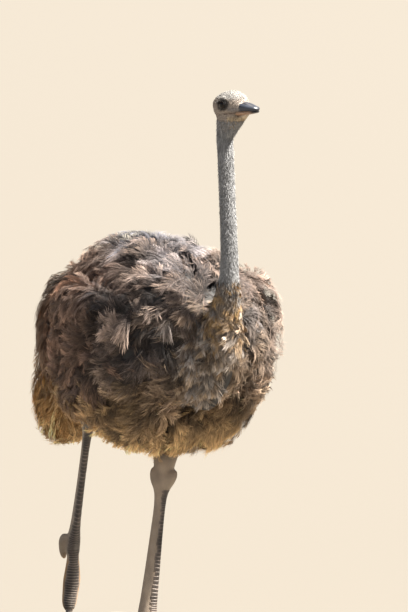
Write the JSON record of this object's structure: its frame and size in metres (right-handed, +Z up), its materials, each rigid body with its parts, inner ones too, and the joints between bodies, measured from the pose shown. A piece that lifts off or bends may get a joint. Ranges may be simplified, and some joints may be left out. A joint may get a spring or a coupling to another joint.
{
  "type": "female ostrich",
  "caption": "Life-size still model of an adult female ostrich in mid-stride: long bare-looking neck, full brown-grey plumage, one foot flat, the other on its toe tip, on a thin flat base.",
  "frame": {"origin": "on the floor, under the middle of the model's bounding box", "axes": "+Z up; the bird faces -Y and its left side is +X"},
  "size_m": [0.727, 1.204, 1.9072],
  "materials": {
    "plumage": "matt, loose plumes",
    "downy_skin": "matt skin under short pale down",
    "leg_skin": "matt scaly skin",
    "horn": "satin horn",
    "stand": "plain, matt painted board",
    "eye": "wet gloss"
  },
  "bodies": {
    "root": {"bill_lower": "horn", "bill_upper": "horn", "claw_left": "horn", "claw_right": "horn", "ear_left": "downy_skin", "ear_right": "downy_skin", "eye_left": "eye", "eye_right": "eye", "foot_left": "leg_skin", "foot_right": "leg_skin", "head": "downy_skin", "neck_lower": "downy_skin", "neck_middle": "downy_skin", "neck_upper": "downy_skin", "outer_toe_left": "leg_skin", "outer_toe_right": "leg_skin", "shank_left": "leg_skin", "shank_right": "leg_skin", "stand_base": "stand", "tail": "plumage", "thigh_left": "plumage", "thigh_right": "plumage", "trunk": "plumage", "wing_left": "plumage", "wing_right": "plumage"}
  },
  "joints": []
}
